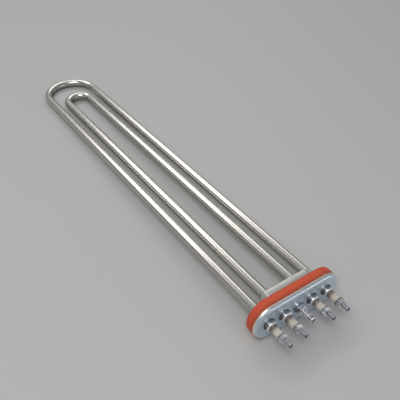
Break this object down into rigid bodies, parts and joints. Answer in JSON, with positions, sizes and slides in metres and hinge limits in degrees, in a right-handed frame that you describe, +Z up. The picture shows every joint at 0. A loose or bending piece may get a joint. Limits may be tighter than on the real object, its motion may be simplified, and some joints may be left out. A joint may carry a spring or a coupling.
{
  "type": "dishwasher heating element",
  "caption": "Tubular water heating element: two nested U loops of sheathed tube on an obround clamp flange with a rubber gasket and threaded stud terminals.",
  "frame": {"origin": "centre of the gasket's seat on the outside of the tank wall, on the clamp stud's axis", "axes": "+X out of the tank along the legs and terminals, Y along the flange, +Z up across its short way"},
  "size_m": [0.4584, 0.082, 0.032],
  "materials": {
    "stainless_sheath": "satin drawn tube",
    "stainless_plate": "satin",
    "zinc_plate": "bright bluish zinc plating",
    "plated_steel": "bright plated",
    "silicone": "matt moulded",
    "ceramic": "smooth unglazed",
    "resin": "matt",
    "magnesia": "compacted powder",
    "resistance_alloy": "dull drawn wire"
  },
  "bodies": {
    "root": {"outer_sheath": "stainless_sheath", "inner_sheath": "stainless_sheath", "outer_magnesia_fill": "magnesia", "inner_magnesia_fill": "magnesia", "outer_resistance_coil": "resistance_alloy", "inner_resistance_coil": "resistance_alloy", "inner_clamp_plate": "stainless_plate", "gasket": "silicone", "outer_clamp_plate": "zinc_plate", "clamp_stud": "plated_steel", "clamp_washer": "plated_steel", "clamp_nut": "plated_steel", "outer_left_terminal_pin": "plated_steel", "inner_left_terminal_pin": "plated_steel", "inner_right_terminal_pin": "plated_steel", "outer_right_terminal_pin": "plated_steel", "outer_left_resin_seal": "resin", "inner_left_resin_seal": "resin", "inner_right_resin_seal": "resin", "outer_right_resin_seal": "resin", "outer_left_ceramic_bush": "ceramic", "inner_left_ceramic_bush": "ceramic", "inner_right_ceramic_bush": "ceramic", "outer_right_ceramic_bush": "ceramic", "outer_left_washer": "plated_steel", "inner_left_washer": "plated_steel", "inner_right_washer": "plated_steel", "outer_right_washer": "plated_steel", "outer_left_nut": "plated_steel", "inner_left_nut": "plated_steel", "inner_right_nut": "plated_steel", "outer_right_nut": "plated_steel"}
  },
  "joints": []
}
